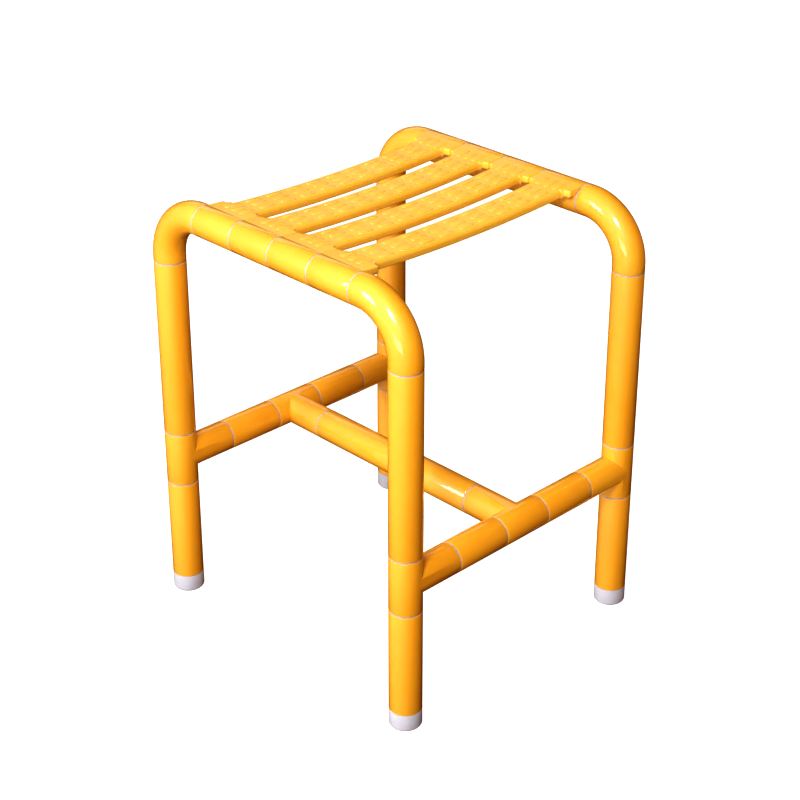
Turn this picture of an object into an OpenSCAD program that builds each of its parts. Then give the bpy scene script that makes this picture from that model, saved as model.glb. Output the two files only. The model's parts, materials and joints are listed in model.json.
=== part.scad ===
// Shower stool: two bent-tube side frames joined by an H of rails, all sheathed
// in 35 mm nylon mouldings, with four dished slats threaded on the top bars.
// X runs along the slats, Y from front to back, Z up. The floor is z = 0 and the
// origin is under the middle of the seat. Every length is in millimetres.

/* [Overall] */

// distance between the two top bars, and between the legs along the slats
frame_w = 327; // [300:1:420]

// distance between the legs of one side frame, front to back
leg_span = 359; // [340:1:460]

// height of the top bar's axis above the floor
bar_z = 473.5; // [390:0.5:560]

// height of the rails' axis above the floor
rail_z = 173; // [125:1:240]

/* [Tube] */

// outside diameter of the nylon mouldings
sleeve_d = 35; // [33:0.5:42]

// outside diameter of the steel tube inside them
core_d = 25; // [21:0.5:26]

// wall of the steel tube
core_wall = 1.2; // [1:0.1:2]

// radial play between the steel tube and a moulding's bore
fit_gap = 0.1; // [0.05:0.01:0.3]

// bevel on the end of every moulding
end_bevel = 0.6; // [0.2:0.1:1]

/* [Joints] */

// width of a joint ring along the tube
ring_w = 1.5; // [0.8:0.1:3]

// play on each side of a joint ring
ring_gap = 0.05; // [0.02:0.01:0.2]

// how far a joint ring sits below the nylon's surface
ring_recess = 0.35; // [0.1:0.05:1]

/* [Elbow] */

// distance from the corner of the frame to the elbow's two joints
elbow_reach = 62.5; // [58:0.5:75]

// radius of the elbow's centre line
bend_r = 56; // [45:0.5:57]

// bore of the cast core inside the elbow
elbow_core_bore = 16; // [10:0.5:18]

// length of the spigot the core pushes into each tube
spigot_l = 24; // [15:1:35]

/* [Tees] */

// half the length of a tee's run, to the middle of its joint
tee_half = 31.8; // [26:0.2:40]

// distance from a tee's run to the joint on its branch
tee_branch = 62.2; // [52:0.2:75]

// distance from a tee's run to its grub screw
screw_reach = 46; // [38:1:50]

// diameter of the grub screw
screw_d = 5; // [4:0.5:6]

// width across the flats of the grub screw's socket
screw_hex = 2.5; // [2:0.5:3]

/* [Slats] */

// width of a slat between its ends
blade_w = 40.5; // [30:0.5:46]

// thickness of a slat
blade_t = 9; // [7:0.5:11]

// rounding of a slat's long edges
blade_round = 3.8; // [1:0.1:4]

// how far the middle of the seat sits below its ends
dish = 6.6; // [3:0.1:12]

// how far the seat's surface starts below the top of the tube
crease_drop = 0.2; // [0.1:0.05:0.6]

// length of a slat's wide end, from the bar's axis
ear_l = 26; // [22:0.5:34]

// gap between the wide ends of two slats
ear_gap = 0.5; // [0.2:0.1:1.5]

// rounding in the corner of a drain slot
slot_fillet = 5.5; // [2:0.5:6]

// rounding of a wide end's corner
ear_round = 2.5; // [0.5:0.5:2.5]

// wall of a slat's hollow underside
slat_wall = 3; // [2.5:0.1:3.5]

// thickness of the stiffening ribs under a slat
rib_t = 2; // [1.5:0.1:4]

// stiffening ribs across the hollow under a slat
rib_count = 4; // [1:1:7]

/* [Grip relief] */

// raised pads along a slat
pad_columns = 11; // [5:1:13]

// raised pads across a slat
pad_rows = 3; // [1:1:3]

// length of a pad
pad_l = 19.4; // [12:0.2:20]

// width of a pad
pad_w = 6; // [3:0.2:8]

// distance between the middles of two pads across a slat
pad_row_pitch = 11.4; // [9:0.2:12]

// height of a pad above the slat
pad_h = 0.5; // [0.2:0.1:0.8]

/* [Feet] */

// visible height of a foot
foot_h = 20.5; // [14:0.5:30]

// thickness of the foot under the tube
foot_floor = 6; // [3:0.5:8]

// rounding of the foot's bottom edge
foot_round = 3; // [1:0.5:5]

// length of the plug inside the tube
plug_l = 32; // [20:1:45]

/* [Hidden] */

sleeve_r = sleeve_d / 2;
core_r = core_d / 2;
core_ir = core_r - core_wall;
bore_r = core_r + fit_gap;
half_joint = ring_w / 2 + ring_gap;
ring_r = sleeve_r - ring_recess;

leg_x = frame_w / 2;
leg_y = leg_span / 2;
elbow_end = elbow_reach - half_joint;
slat_count = 4;
slat_pitch = (leg_span - 2 * elbow_reach) / slat_count;
slat_sleeve_l = slat_pitch - 2 * half_joint;

slat_end_z = bar_z + sleeve_r - crease_drop;
slat_mid_z = slat_end_z - dish;
dish_r = (leg_x * leg_x + dish * dish) / (2 * dish);
dish_angle = asin(leg_x / dish_r);
ear_w = slat_pitch - ear_gap;
slot_x = leg_x - ear_l;

edge_stop = 1;
round_angle = asin((slot_x - slot_fillet - edge_stop) / dish_r);
pocket_stop = 6;
pocket_x = slot_x - slot_fillet - pocket_stop;
pocket_angle = asin(pocket_x / dish_r);
pocket_edge = 0.5;
pocket_w = blade_w - 2 * (slat_wall + pocket_edge);
pad_margin = 13.6;
pad_pitch = 2 * (leg_x - pad_margin - pad_l / 2) / (pad_columns - 1);
pad_sink = 0.4;
rib_pitch = 2 * pocket_x / (rib_count + 1);

branch_step = 0.1;
tube_clear = 1.5;
tube_stop = core_r + tube_clear;
screw_sink = 0.5;
screw_l = sleeve_r - core_r - screw_sink;
round_sides = 96;
dish_sides = 1440;
small_sides = 48;
pad_sides = 24;
eps = 0.05;

nylon = [0.98, 0.68, 0.08];
slat_nylon = [0.97, 0.66, 0.12];
ring_white = [0.92, 0.86, 0.88];
foot_white = [0.88, 0.87, 0.93];
steel = [0.66, 0.67, 0.69];
cast_metal = [0.56, 0.57, 0.59];
screw_steel = [0.42, 0.43, 0.45];

// node to draw, or "all"

// ---------- placing ----------

// puts a child drawn for the rear right leg, with its corner at the origin, on one leg
module at_leg(side_x, side_y, height) {
    translate([side_x * leg_x, side_y * leg_y, height])
        mirror([side_x < 0 ? 1 : 0, 0, 0])
            mirror([0, side_y < 0 ? 1 : 0, 0])
                children();
}

module along_x() {
    rotate([0, 90, 0]) children();
}

module along_y() {
    rotate([-90, 0, 0]) children();
}

// ---------- shared shapes ----------

// a nylon moulding's outside along Z from one height to another, with bevelled ends
module sleeve_body(from, to, radius = sleeve_r) {
    rotate_extrude($fn = round_sides)
        polygon([
            [0, from],
            [radius - end_bevel, from],
            [radius, from + end_bevel],
            [radius, to - end_bevel],
            [radius - end_bevel, to],
            [0, to]
        ]);
}

// a straight tube moulding along Z
module sleeve(from, to) {
    difference() {
        sleeve_body(from, to);
        translate([0, 0, from - 1]) cylinder(r = bore_r, h = to - from + 2, $fn = round_sides);
    }
}

// a steel tube along Z
module steel_tube(from, to) {
    difference() {
        translate([0, 0, from]) cylinder(r = core_r, h = to - from, $fn = round_sides);
        translate([0, 0, from - 1]) cylinder(r = core_ir, h = to - from + 2, $fn = round_sides);
    }
}

// a round bar of the given radius round the frame's corner; its two ends reach
// the given distance from the corner, along -Y and along -Z
module corner_bar(radius, reach) {
    translate([0, -bend_r, -bend_r])
        rotate([90, 0, 90])
            rotate_extrude(angle = 90, $fn = round_sides)
                translate([bend_r, 0]) circle(r = radius, $fn = round_sides);
    translate([0, -reach, 0])
        along_y() cylinder(r = radius, h = reach - bend_r + eps, $fn = round_sides);
    translate([0, 0, -reach])
        cylinder(r = radius, h = reach - bend_r + eps, $fn = round_sides);
}

// what is cut off a bar's end at z = 0 to bevel it
module bevel_cut() {
    rotate_extrude($fn = round_sides)
        polygon([
            [sleeve_r - end_bevel, -eps],
            [sleeve_r + eps, -eps],
            [sleeve_r + eps, end_bevel + eps],
            [sleeve_r, end_bevel]
        ]);
}

// one joint ring centred on the origin, its axis along Z
module ring() {
    difference() {
        translate([0, 0, -ring_w / 2]) cylinder(r = ring_r, h = ring_w, $fn = round_sides);
        translate([0, 0, -ring_w]) cylinder(r = bore_r, h = 2 * ring_w, $fn = round_sides);
    }
}

// a grub screw below a horizontal tube, its axis through the origin
module grub_screw() {
    top = -core_r - 0.05;
    difference() {
        translate([0, 0, top - screw_l]) cylinder(d = screw_d, h = screw_l, $fn = small_sides);
        translate([0, 0, top - screw_l - 1])
            cylinder(d = screw_hex / cos(30), h = screw_l / 2 + 1, $fn = 6);
    }
}

module screw_hole() {
    translate([0, 0, -sleeve_r - 1])
        cylinder(d = screw_d + 2 * fit_gap, h = sleeve_r - core_r + 2, $fn = small_sides);
}

// a tee with its run along Z through the origin and its branch along -X
module tee(screw_turn) {
    run_end = tee_half - half_joint;
    branch_end = tee_branch - half_joint;
    difference() {
        union() {
            sleeve_body(-run_end, run_end);
            rotate([0, -90, 0]) sleeve_body(0, branch_end, sleeve_r - branch_step);
        }
        translate([0, 0, -run_end - 1]) cylinder(r = bore_r, h = 2 * run_end + 2, $fn = round_sides);
        rotate([0, -90, 0]) cylinder(r = bore_r - branch_step / 2, h = branch_end + 1, $fn = round_sides);
        rotate([screw_turn, 0, 0]) translate([-screw_reach, 0, 0]) screw_hole();
    }
}

// ---------- steel inside ----------

module top_tube(side) {
    color(steel)
        translate([side * leg_x, 0, bar_z])
            along_y() steel_tube(-leg_y + bend_r, leg_y - bend_r);
}

module leg_tube(side_x, side_y) {
    color(steel)
        translate([side_x * leg_x, side_y * leg_y, 0])
            steel_tube(foot_floor, bar_z - bend_r);
}

module rail_tube(side) {
    color(steel)
        translate([0, side * leg_y, rail_z])
            along_x() steel_tube(-leg_x + tube_stop, leg_x - tube_stop);
}

module stretcher_tube() {
    color(steel)
        translate([0, 0, rail_z])
            along_y() steel_tube(-leg_y + tube_stop, leg_y - tube_stop);
}

// cast bend inside the elbow, with a spigot that fills the end of each tube
module elbow_core(side_x, side_y) {
    spigot_r = core_ir - fit_gap / 2;
    color(cast_metal)
        at_leg(side_x, side_y, bar_z)
            difference() {
                union() {
                    corner_bar(core_r, bend_r);
                    corner_bar(spigot_r, bend_r + spigot_l);
                }
                corner_bar(elbow_core_bore / 2, bend_r + spigot_l + 1);
            }
}

// ---------- nylon frame mouldings ----------

module elbow(side_x, side_y) {
    color(nylon)
        at_leg(side_x, side_y, bar_z)
            difference() {
                corner_bar(sleeve_r, elbow_end);
                corner_bar(bore_r, elbow_end + 1);
                translate([0, -elbow_end, 0]) along_y() bevel_cut();
                translate([0, 0, -elbow_end]) bevel_cut();
            }
}

module upper_sleeve(side_x, side_y) {
    color(nylon)
        translate([side_x * leg_x, side_y * leg_y, 0])
            sleeve(rail_z + tee_half + half_joint, bar_z - elbow_reach - half_joint);
}

module leg_tee(side_x, side_y) {
    color(nylon)
        at_leg(side_x, side_y, rail_z)
            tee(0);
}

module lower_sleeve(side_x, side_y) {
    color(nylon)
        translate([side_x * leg_x, side_y * leg_y, 0])
            sleeve(foot_h + ring_gap, rail_z - tee_half - half_joint);
}

module rail_sleeve(side_y, side_x) {
    color(nylon)
        translate([0, side_y * leg_y, rail_z])
            rotate([0, side_x * 90, 0])
                sleeve(tee_half + half_joint, leg_x - tee_branch - half_joint);
}

// a tee lying along the rail, with its branch towards the middle of the stool
module centre_tee(side) {
    color(nylon)
        translate([0, side * leg_y, rail_z])
            mirror([0, side < 0 ? 1 : 0, 0])
                rotate([0, 90, 0])
                    rotate([0, 0, 90])
                        tee(-90);
}

module stretcher_sleeve() {
    reach = leg_y - tee_branch - half_joint;
    color(nylon)
        translate([0, 0, rail_z])
            along_y() sleeve(-reach, reach);
}

// ---------- slats ----------

// a curved bar along the seat's dish; its profile is drawn with x down into the
// slat from its top surface and y across the slat
module along_dish(half_angle) {
    translate([0, 0, slat_mid_z + dish_r])
        rotate([90, 0, 0])
            rotate([0, 0, 270 - half_angle])
                rotate_extrude(angle = 2 * half_angle, $fn = dish_sides)
                    translate([dish_r, 0]) children();
}

// plan of the drain slot's half beside one slat, with filleted corners
module slot_plan() {
    straight = slot_x - slot_fillet;
    fillet_y = blade_w / 2 + slot_fillet;
    translate([-straight, blade_w / 2]) square([2 * straight, slot_fillet + eps]);
    translate([-slot_x, fillet_y]) square([2 * slot_x, ear_w]);
    for (side = [-1, 1])
        translate([side * straight, fillet_y]) circle(r = slot_fillet, $fn = small_sides);
}

// what is cut off a wide end's corner to round it
module ear_corner_plan() {
    difference() {
        translate([slot_x - eps, ear_w / 2 - ear_round]) square([ear_round + eps, ear_round + 1]);
        translate([slot_x + ear_round, ear_w / 2 - ear_round]) circle(r = ear_round, $fn = small_sides);
    }
}

// section of what is cut off one long edge of a slat to round it in three steps
module edge_profile() {
    r = blade_round;
    polygon([
        [0, r],
        [r - r * cos(30), r - r * sin(30)],
        [r - r * cos(60), r - r * sin(60)],
        [r, 0],
        [r, -1],
        [-1, -1],
        [-1, r]
    ]);
}

module upright(shape_h = dish + 4 * blade_t) {
    translate([0, 0, slat_mid_z - 2 * blade_t])
        linear_extrude(height = shape_h) children();
}

// the slat without its sleeves and pads
module plate() {
    difference() {
        along_dish(dish_angle) translate([0, -ear_w / 2]) square([blade_t, ear_w]);
        for (side_y = [0, 1]) mirror([0, side_y, 0]) {
            upright() slot_plan();
            for (side_x = [0, 1]) mirror([side_x, 0, 0]) upright() ear_corner_plan();
            along_dish(round_angle) {
                translate([0, -blade_w / 2]) edge_profile();
                translate([blade_t, -blade_w / 2]) mirror([1, 0]) edge_profile();
            }
        }
        for (side = [-1, 1]) {
            translate([side * leg_x, -slat_pitch, bar_z])
                along_y() cylinder(r = (bore_r + sleeve_r) / 2, h = 2 * slat_pitch, $fn = round_sides);
            for (end = [-1, 1])
                translate([side * leg_x, end * (slat_sleeve_l / 2 + 1), bar_z])
                    along_y() cylinder(r = sleeve_r, h = 2, center = true, $fn = round_sides);
        }
        underside();
    }
}

// one pill-shaped pad, lying along X
module pad() {
    straight = pad_l - pad_w;
    square([straight, pad_w], center = true);
    for (side = [-1, 1])
        translate([side * straight / 2, 0]) circle(d = pad_w, $fn = pad_sides);
}

// the anti-slip pads, each square to the dish where it stands
module pads() {
    for (column = [0 : pad_columns - 1]) {
        along = (column - (pad_columns - 1) / 2) * pad_pitch;
        translate([0, 0, slat_mid_z + dish_r])
            rotate([0, -asin(along / dish_r), 0])
                for (row = [0 : pad_rows - 1])
                    translate([0, (row - (pad_rows - 1) / 2) * pad_row_pitch, -dish_r - pad_sink])
                        linear_extrude(height = pad_sink + pad_h) pad();
    }
}

// the hollow under a slat, divided by ribs
module underside() {
    difference() {
        along_dish(pocket_angle)
            translate([slat_wall, -pocket_w / 2]) square([blade_t, pocket_w]);
        for (rib = [1 : rib_count])
            translate([rib * rib_pitch - pocket_x - rib_t / 2, -blade_w, slat_mid_z - 2 * blade_t])
                cube([rib_t, 2 * blade_w, dish + 3 * blade_t]);
        translate([-leg_x, -rib_t / 2, slat_mid_z - 2 * blade_t])
            cube([2 * leg_x, rib_t, dish + 3 * blade_t]);
    }
}

module slat(index) {
    color(slat_nylon)
        translate([0, (index - (slat_count - 1) / 2) * slat_pitch, 0]) {
            for (side = [-1, 1])
                translate([side * leg_x, 0, bar_z])
                    along_y() sleeve(-slat_sleeve_l / 2, slat_sleeve_l / 2);
            plate();
            pads();
        }
}

// ---------- feet ----------

// end cap: a cup round the tube and a plug inside it
module foot(side_x, side_y) {
    cup_r = bore_r;
    plug_r = core_ir - fit_gap;
    lead = 2;
    color(foot_white)
        translate([side_x * leg_x, side_y * leg_y, 0])
            rotate_extrude($fn = round_sides) {
                polygon([
                    [0, 0],
                    [sleeve_r - foot_round, 0],
                    [sleeve_r - foot_round, foot_round],
                    [sleeve_r, foot_round],
                    [sleeve_r, foot_h],
                    [cup_r, foot_h],
                    [cup_r, foot_floor - ring_gap],
                    [plug_r, foot_floor - ring_gap],
                    [plug_r, foot_floor + plug_l - lead],
                    [plug_r - lead, foot_floor + plug_l],
                    [0, foot_floor + plug_l]
                ]);
                intersection() {
                    translate([sleeve_r - foot_round, foot_round]) circle(r = foot_round, $fn = small_sides);
                    translate([sleeve_r - foot_round - eps, 0]) square([foot_round + eps, foot_round + eps]);
                }
            }
}

// ---------- joint rings and screws ----------

module rings_top(side) {
    color(ring_white)
        for (joint = [0 : slat_count])
            translate([side * leg_x, (joint - slat_count / 2) * slat_pitch, bar_z])
                along_y() ring();
}

module rings_leg(side_x, side_y) {
    color(ring_white)
        for (height = [bar_z - elbow_reach, rail_z + tee_half, rail_z - tee_half])
            translate([side_x * leg_x, side_y * leg_y, height]) ring();
}

module rings_rail(side) {
    color(ring_white)
        for (side_x = [-1, 1], reach = [tee_half, leg_x - tee_branch])
            translate([side_x * reach, side * leg_y, rail_z]) along_x() ring();
}

module rings_stretcher() {
    color(ring_white)
        for (side = [-1, 1])
            translate([0, side * (leg_y - tee_branch), rail_z]) along_y() ring();
}

module rail_screws(side) {
    color(screw_steel)
        for (side_x = [-1, 1])
            translate([side_x * (leg_x - screw_reach), side * leg_y, rail_z]) grub_screw();
}

module stretcher_screws() {
    color(screw_steel)
        for (side = [-1, 1])
            translate([0, side * (leg_y - screw_reach), rail_z]) grub_screw();
}

// ---------- drawing ----------

top_tube(-1);  // top_tube_left
top_tube(1);  // top_tube_right
leg_tube(-1, 1);  // leg_tube_rear_left
leg_tube(-1, -1);  // leg_tube_front_left
leg_tube(1, -1);  // leg_tube_front_right
leg_tube(1, 1);  // leg_tube_rear_right
rail_tube(-1);  // rail_tube_front
rail_tube(1);  // rail_tube_rear
stretcher_tube();
elbow_core(-1, 1);  // elbow_core_rear_left
elbow_core(-1, -1);  // elbow_core_front_left
elbow_core(1, -1);  // elbow_core_front_right
elbow_core(1, 1);  // elbow_core_rear_right
elbow(-1, 1);  // elbow_rear_left
elbow(-1, -1);  // elbow_front_left
elbow(1, -1);  // elbow_front_right
elbow(1, 1);  // elbow_rear_right
upper_sleeve(-1, 1);  // upper_sleeve_rear_left
upper_sleeve(-1, -1);  // upper_sleeve_front_left
upper_sleeve(1, -1);  // upper_sleeve_front_right
upper_sleeve(1, 1);  // upper_sleeve_rear_right
leg_tee(-1, 1);  // leg_tee_rear_left
leg_tee(-1, -1);  // leg_tee_front_left
leg_tee(1, -1);  // leg_tee_front_right
leg_tee(1, 1);  // leg_tee_rear_right
lower_sleeve(-1, 1);  // lower_sleeve_rear_left
lower_sleeve(-1, -1);  // lower_sleeve_front_left
lower_sleeve(1, -1);  // lower_sleeve_front_right
lower_sleeve(1, 1);  // lower_sleeve_rear_right
foot(-1, 1);  // foot_rear_left
foot(-1, -1);  // foot_front_left
foot(1, -1);  // foot_front_right
foot(1, 1);  // foot_rear_right
slat(0);  // slat_front
slat(1);  // slat_front_middle
slat(2);  // slat_rear_middle
slat(3);  // slat_rear
rail_sleeve(-1, -1);  // rail_sleeve_front_left
rail_sleeve(-1, 1);  // rail_sleeve_front_right
rail_sleeve(1, -1);  // rail_sleeve_rear_left
rail_sleeve(1, 1);  // rail_sleeve_rear_right
centre_tee(-1);  // centre_tee_front
centre_tee(1);  // centre_tee_rear
stretcher_sleeve();
rings_top(-1);  // rings_top_left
rings_top(1);  // rings_top_right
rings_leg(-1, 1);  // rings_leg_rear_left
rings_leg(-1, -1);  // rings_leg_front_left
rings_leg(1, -1);  // rings_leg_front_right
rings_leg(1, 1);  // rings_leg_rear_right
rings_rail(-1);  // rings_rail_front
rings_rail(1);  // rings_rail_rear
rings_stretcher();
rail_screws(-1);  // rail_screws_front
rail_screws(1);  // rail_screws_rear
stretcher_screws();
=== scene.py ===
"""Shower stool: a nylon-sheathed tube frame with four dished slats.

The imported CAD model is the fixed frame. The nylon mouldings, slats, joint rings and feet
are modelled here round it; the steel inside stays as the CAD made it, with its own finishes.
All lengths are in metres. X runs along the slats, Y from front to back, Z up.
"""
import json
import logging
import math
from dataclasses import dataclass, field
from enum import Enum
from typing import Callable, Iterator, Sequence

import bmesh
import bpy
from mathutils import Matrix, Vector


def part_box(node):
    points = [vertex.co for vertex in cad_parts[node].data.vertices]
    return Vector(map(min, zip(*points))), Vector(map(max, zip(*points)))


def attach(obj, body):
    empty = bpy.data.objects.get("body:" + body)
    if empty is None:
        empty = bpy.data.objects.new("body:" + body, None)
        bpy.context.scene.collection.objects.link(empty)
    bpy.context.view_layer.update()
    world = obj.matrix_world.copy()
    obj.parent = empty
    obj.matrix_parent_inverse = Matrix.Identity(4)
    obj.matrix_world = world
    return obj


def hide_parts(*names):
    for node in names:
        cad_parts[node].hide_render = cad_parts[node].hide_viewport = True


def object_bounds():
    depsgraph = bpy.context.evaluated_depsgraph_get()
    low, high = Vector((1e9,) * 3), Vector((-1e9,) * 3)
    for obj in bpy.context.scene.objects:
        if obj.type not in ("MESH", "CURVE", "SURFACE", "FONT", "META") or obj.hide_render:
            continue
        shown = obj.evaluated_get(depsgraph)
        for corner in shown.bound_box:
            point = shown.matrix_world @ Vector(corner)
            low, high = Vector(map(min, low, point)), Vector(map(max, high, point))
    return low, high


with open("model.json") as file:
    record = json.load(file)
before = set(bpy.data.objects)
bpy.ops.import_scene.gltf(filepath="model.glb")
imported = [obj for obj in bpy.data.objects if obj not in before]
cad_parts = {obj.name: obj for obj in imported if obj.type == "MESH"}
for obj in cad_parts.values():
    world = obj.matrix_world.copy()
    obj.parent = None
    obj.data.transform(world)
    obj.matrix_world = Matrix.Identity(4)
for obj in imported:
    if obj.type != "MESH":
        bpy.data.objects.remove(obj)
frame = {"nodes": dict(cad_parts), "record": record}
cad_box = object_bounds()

LOG = logging.getLogger("shower_stool")
MM = 0.001
# two places this near to each other are the same place
CLOSE = 1e-5
# radial play between the steel tubes and the bores of the mouldings
PLAY = 0.1 * MM
# the least angle, in degrees, between the faces of an edge that a bevel rounds
CRISP = 40.0
BODY = "root"

Test = Callable[[Vector], bool]
Colour = tuple[float, float, float]


# ---------- modelling tools ----------


class Axis(Enum):
    """The axis that a round piece lies along; its value is the index in a point."""

    X = 0
    Y = 1
    Z = 2

    def turn(self) -> Matrix:
        """Return the turn that takes the Z axis to this one."""
        if self is Axis.X:
            return Matrix.Rotation(math.radians(90), 4, "Y")
        if self is Axis.Y:
            return Matrix.Rotation(math.radians(-90), 4, "X")
        return Matrix.Identity(4)


class Pick(Enum):
    """What a selection in edit mode takes."""

    VERTS = "VERT"
    EDGES = "EDGE"
    FACES = "FACE"


class Bench:
    """Blender's modelling operators, each started from a clean selection."""

    @staticmethod
    def take(*pieces: bpy.types.Object) -> None:
        """Select only these objects and make the last one active.

        Args:
            pieces: the objects that the next operator works on.
        """
        if bpy.context.object and bpy.context.object.mode != "OBJECT":
            bpy.ops.object.mode_set(mode="OBJECT")
        bpy.ops.object.select_all(action="DESELECT")
        for piece in pieces:
            piece.select_set(True)
        bpy.context.view_layer.objects.active = pieces[-1]

    @staticmethod
    def settle(name: str, place: Matrix) -> bpy.types.Object:
        """Name the new active object and put its place into its mesh.

        Args:
            name: the piece's name.
            place: where the piece goes, from the origin.

        Returns:
            The object, at the origin and unturned.
        """
        piece = bpy.context.object
        piece.name = name
        piece.data.name = name
        piece.matrix_world = place @ piece.matrix_world
        Bench.take(piece)
        bpy.ops.object.transform_apply(location=True, rotation=True, scale=True)
        return piece

    @staticmethod
    def mark(piece: bpy.types.Object, kind: Pick, wanted: Test, crisp: float = 0.0) -> None:
        """Enter edit mode and select the elements whose every vertex passes a test.

        Args:
            piece: the mesh object to edit.
            kind: whether vertices, edges or faces are selected.
            wanted: the test on a vertex's place.
            crisp: the least angle between an edge's two faces, in degrees.
        """
        Bench.take(piece)
        bpy.ops.object.mode_set(mode="EDIT")
        bpy.ops.mesh.select_mode(type=kind.value)
        bpy.ops.mesh.select_all(action="DESELECT")
        mesh = bmesh.from_edit_mesh(piece.data)
        if kind is Pick.VERTS:
            for vert in mesh.verts:
                vert.select_set(wanted(vert.co))
        else:
            for part in mesh.edges if kind is Pick.EDGES else mesh.faces:
                if not all(wanted(vert.co) for vert in part.verts):
                    continue
                if kind is Pick.FACES or part.calc_face_angle(math.pi) >= math.radians(crisp):
                    part.select_set(True)
        bmesh.update_edit_mesh(piece.data)

    @staticmethod
    def done() -> None:
        """Leave edit mode."""
        bpy.ops.object.mode_set(mode="OBJECT")

    @staticmethod
    def bevel(piece: bpy.types.Object, wanted: Test, width: float, steps: int) -> None:
        """Round the edges whose two ends pass a test.

        Args:
            piece: the mesh object.
            wanted: the test on a vertex's place.
            width: how far the rounding reaches from the edge.
            steps: how many faces the rounding has across it.
        """
        Bench.mark(piece, Pick.EDGES, wanted, crisp=CRISP)
        bpy.ops.mesh.bevel(offset=width, segments=steps, profile=0.5, affect="EDGES")
        Bench.done()

    @staticmethod
    def wall(piece: bpy.types.Object, thickness: float) -> None:
        """Give an open round shell a wall on its inside.

        Args:
            piece: the shell, with its faces pointing outwards.
            thickness: the wall's thickness.
        """
        Bench.take(piece)
        shell = piece.modifiers.new("wall", "SOLIDIFY")
        shell.thickness = thickness
        shell.offset = -1
        bpy.ops.object.modifier_apply(modifier=shell.name)

    @staticmethod
    def carve(piece: bpy.types.Object, tool: bpy.types.Object, operation: str) -> None:
        """Join a tool to a piece, or cut it away, and throw the tool away.

        Args:
            piece: the closed mesh that is changed.
            tool: the closed mesh that changes it.
            operation: UNION or DIFFERENCE.
        """
        Bench.take(piece)
        cut = piece.modifiers.new("cut", "BOOLEAN")
        cut.operation = operation
        cut.solver = "EXACT"
        cut.object = tool
        bpy.ops.object.modifier_apply(modifier=cut.name)
        bpy.data.objects.remove(tool)

    @staticmethod
    def copy(piece: bpy.types.Object, name: str, place: Matrix) -> bpy.types.Object:
        """Copy a finished piece, with a mesh of its own, to another place.

        Args:
            piece: the piece to copy.
            name: the copy's name.
            place: the move or turn from the first piece to the copy.

        Returns:
            The copy, at the origin, with its place in its mesh.
        """
        twin = piece.copy()
        twin.data = piece.data.copy()
        twin.name = name
        twin.data.name = name
        bpy.context.scene.collection.objects.link(twin)
        twin.data.transform(place)
        return twin

    @staticmethod
    def join(name: str, parts: Sequence[bpy.types.Object]) -> bpy.types.Object:
        """Join several meshes into one object.

        Args:
            name: the joined piece's name.
            parts: the objects to join; the first one stays.

        Returns:
            The joined object.
        """
        Bench.take(*parts[1:], parts[0])
        if len(parts) > 1:
            bpy.ops.object.join()
        parts[0].name = name
        parts[0].data.name = name
        return parts[0]

    @staticmethod
    def smooth(piece: bpy.types.Object, degrees: float = 32.0) -> None:
        """Shade a piece smooth, with creases sharper than an angle left crisp.

        Args:
            piece: the mesh object.
            degrees: the least angle of a crease.
        """
        Bench.take(piece)
        bpy.ops.object.shade_smooth_by_angle(angle=math.radians(degrees))


def spot(x: float, y: float, z: float) -> Matrix:
    """Return the move from the origin to a point."""
    return Matrix.Translation((x, y, z))


HERE = Matrix.Identity(4)
HALF_TURN = Matrix.Rotation(math.pi, 4, "Z")


@dataclass(frozen=True)
class RoundPiece:
    """A round bar or tube with rounded ends, first made along Z about the origin.

    Attributes:
        name: the piece's name.
        radius: its outside radius.
        start: its lower end.
        end: its upper end.
        bore: the radius of its bore, or nothing for a solid bar.
        rim: how far its ends are rounded.
        rim_steps: how many faces that rounding has.
        sides: how many faces go round it.
    """

    name: str
    radius: float
    start: float
    end: float
    bore: float = 0.0
    rim: float = 0.0
    rim_steps: int = 3
    sides: int = 96

    def build(self, place: Matrix) -> bpy.types.Object:
        """Model the bar or tube.

        Args:
            place: where it goes, from the origin.

        Returns:
            The finished mesh object.
        """
        bpy.ops.mesh.primitive_cylinder_add(
            vertices=self.sides,
            radius=self.radius,
            depth=self.end - self.start,
            end_fill_type="NOTHING" if self.bore else "NGON",
            location=(0, 0, (self.start + self.end) / 2),
        )
        piece = Bench.settle(self.name, HERE)
        if self.bore:
            Bench.wall(piece, self.radius - self.bore)
        if self.rim:
            for height in (self.start, self.end):
                Bench.bevel(piece, self._rim_test(height), self.rim, self.rim_steps)
        piece.data.transform(place)
        return piece

    def _rim_test(self, height: float) -> Test:
        """Return the test for a point on the outer edge at one end."""
        return lambda p: abs(p.z - height) < CLOSE and p.xy.length > self.radius - CLOSE


# ---------- shader tools ----------


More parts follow.
